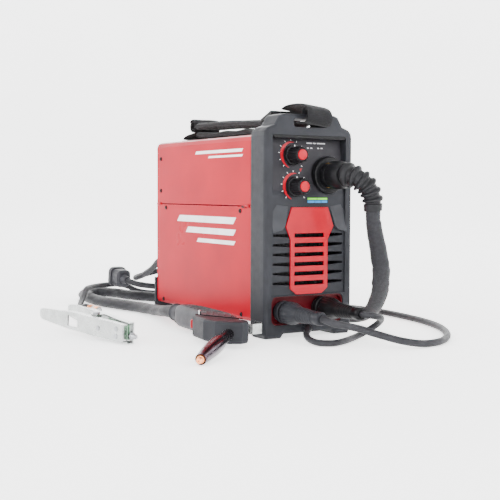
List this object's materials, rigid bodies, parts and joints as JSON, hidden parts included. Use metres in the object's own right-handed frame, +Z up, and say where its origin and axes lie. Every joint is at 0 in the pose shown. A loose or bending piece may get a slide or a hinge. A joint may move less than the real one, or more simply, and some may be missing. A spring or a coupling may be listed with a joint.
{
  "type": "mig welding machine",
  "caption": "Compact wire-feed welding machine in a folded steel case with moulded front, carrying strap, gun on a sleeved cable, work clamp on a lead and a mains cord.",
  "frame": {"origin": "centre of the base pan underside, 20 mm above the floor the moulded feet stand on", "axes": "+X to the right of the machine seen from its front, +Y to its rear, +Z up"},
  "size_m": [0.7039, 0.8194, 0.3354],
  "materials": {
    "red_paint": "gloss",
    "red_trim": "satin",
    "dark_plastic": "fine grain",
    "grey_plastic": "fine grain",
    "black_plastic": "satin",
    "trigger_red": "satin",
    "rubber": "matte",
    "sleeve": "woven sleeve",
    "webbing": "woven",
    "steel": "zinc plated",
    "nozzle_chrome": "darkened",
    "aluminium": "extruded",
    "brass": "machined",
    "board": "circuit board",
    "winding": "varnished"
  },
  "bodies": {
    "machine": {"front_bezel": "dark_plastic", "grille_trim": "red_trim", "control_overlay": "black_plastic", "gun_socket_ring": "black_plastic", "gun_adapter": "brass", "output_socket_left": "black_plastic", "output_socket_right": "black_plastic", "base_pan": "steel", "lower_left_panel": "red_paint", "case_cover": "red_paint", "rear_panel": "dark_plastic", "rear_bumper": "dark_plastic", "mains_gland": "black_plastic", "inner_frame": "steel", "heat_sink": "aluminium", "power_board": "board", "transformer": "winding", "feed_motor": "steel", "feed_plate": "grey_plastic", "spool_spindle": "black_plastic", "work_plug": "grey_plastic", "polarity_plug": "black_plastic", "gun_connector": "black_plastic", "gun_relief": "rubber", "gun_cable_front": "sleeve", "gun_cable_coil": "sleeve", "gun_cable_rear": "sleeve", "work_lead_front": "rubber", "work_lead_coil": "rubber", "work_lead_rear": "rubber", "polarity_lead": "rubber", "mains_cord_rear": "rubber", "mains_cord_coil": "rubber", "mains_cord_end": "rubber", "mains_plug": "black_plastic", "gun_collar": "black_plastic", "gun_handle": "grey_plastic", "gun_head": "dark_plastic", "gun_nozzle": "nozzle_chrome", "contact_tip": "brass", "gun_hook": "steel", "clamp_arm_right": "steel", "clamp_pin": "steel", "clamp_spring": "steel", "strap_band": "webbing", "strap_pad": "webbing", "strap_buckle": "black_plastic", "rear_anchor": "black_plastic"},
    "door": {"side_door": "red_paint"},
    "knob_upper": {"knob_upper": "black_plastic"},
    "knob_lower": {"knob_lower": "black_plastic"},
    "switch_rocker": {"power_switch": "black_plastic"},
    "fan": {"fan_rotor": "black_plastic"},
    "drive_roll": {"drive_roll": "steel"},
    "idler_arm": {"idler_arm": "grey_plastic"},
    "idler_roll": {"idler_roll": "steel"},
    "tension_knob": {"tension_knob": "black_plastic"},
    "wire_spool": {"wire_spool": "grey_plastic"},
    "gun_trigger": {"gun_trigger": "trigger_red"},
    "clamp_near_arm": {"clamp_arm_left": "steel"}
  },
  "joints": [
    {"name": "door_hinge", "type": "hinge", "parent": "machine", "child": "door", "pos_m": [-0.0729, 0, 0.1672], "axis": [0, -1, 0], "range_deg": [0, 100]},
    {"name": "upper_knob_turn", "type": "hinge", "parent": "machine", "child": "knob_upper", "pos_m": [-0.025, -0.19, 0.24], "axis": [0, -1, 0], "range_deg": [-135, 135]},
    {"name": "lower_knob_turn", "type": "hinge", "parent": "machine", "child": "knob_lower", "pos_m": [-0.025, -0.19, 0.1955], "axis": [0, -1, 0], "range_deg": [-135, 135]},
    {"name": "switch_rock", "type": "hinge", "parent": "machine", "child": "switch_rocker", "pos_m": [-0.035, 0.15, 0.219], "axis": [-1, 0, 0], "range_deg": [0, 14]},
    {"name": "fan_spin", "type": "hinge", "parent": "machine", "child": "fan", "pos_m": [0.02, 0.134, 0.085], "axis": [0, 1, 0], "continuous": true},
    {"name": "drive_roll_spin", "type": "hinge", "parent": "machine", "child": "drive_roll", "pos_m": [0.034, -0.073, 0.1995], "axis": [1, 0, 0], "continuous": true},
    {"name": "idler_arm_lift", "type": "hinge", "parent": "machine", "child": "idler_arm", "pos_m": [0.0256, -0.047, 0.2245], "axis": [-1, 0, 0], "range_deg": [0, 28]},
    {"name": "idler_roll_spin", "type": "hinge", "parent": "idler_arm", "child": "idler_roll", "pos_m": [0.034, -0.073, 0.2215], "axis": [1, 0, 0], "continuous": true},
    {"name": "tension_screw_swing", "type": "hinge", "parent": "machine", "child": "tension_knob", "pos_m": [0.0322, -0.1075, 0.2305], "axis": [1, 0, 0], "range_deg": [0, 60]},
    {"name": "spool_spin", "type": "hinge", "parent": "machine", "child": "wire_spool", "pos_m": [0.014, 0.062, 0.213], "axis": [1, 0, 0], "continuous": true},
    {"name": "trigger_pull", "type": "hinge", "parent": "machine", "child": "gun_trigger", "pos_m": [-0.14457, -0.1221, 0.00245], "axis": [-0.001, -0.015, 0.9999], "range_deg": [0, 5], "stiffness_Nm_per_rad": 0.2, "springref_deg": -4.58},
    {"name": "clamp_squeeze", "type": "hinge", "parent": "machine", "child": "clamp_near_arm", "pos_m": [-0.27315, -0.06468, 0.00086], "axis": [-0.0136, 0.0686, -0.9976], "range_deg": [0, 14], "stiffness_Nm_per_rad": 2, "springref_deg": -8.59}
  ],
  "couplings": [
    {"joint": "idler_roll_spin", "follows": "drive_roll_spin", "ratio": -1.3333}
  ]
}
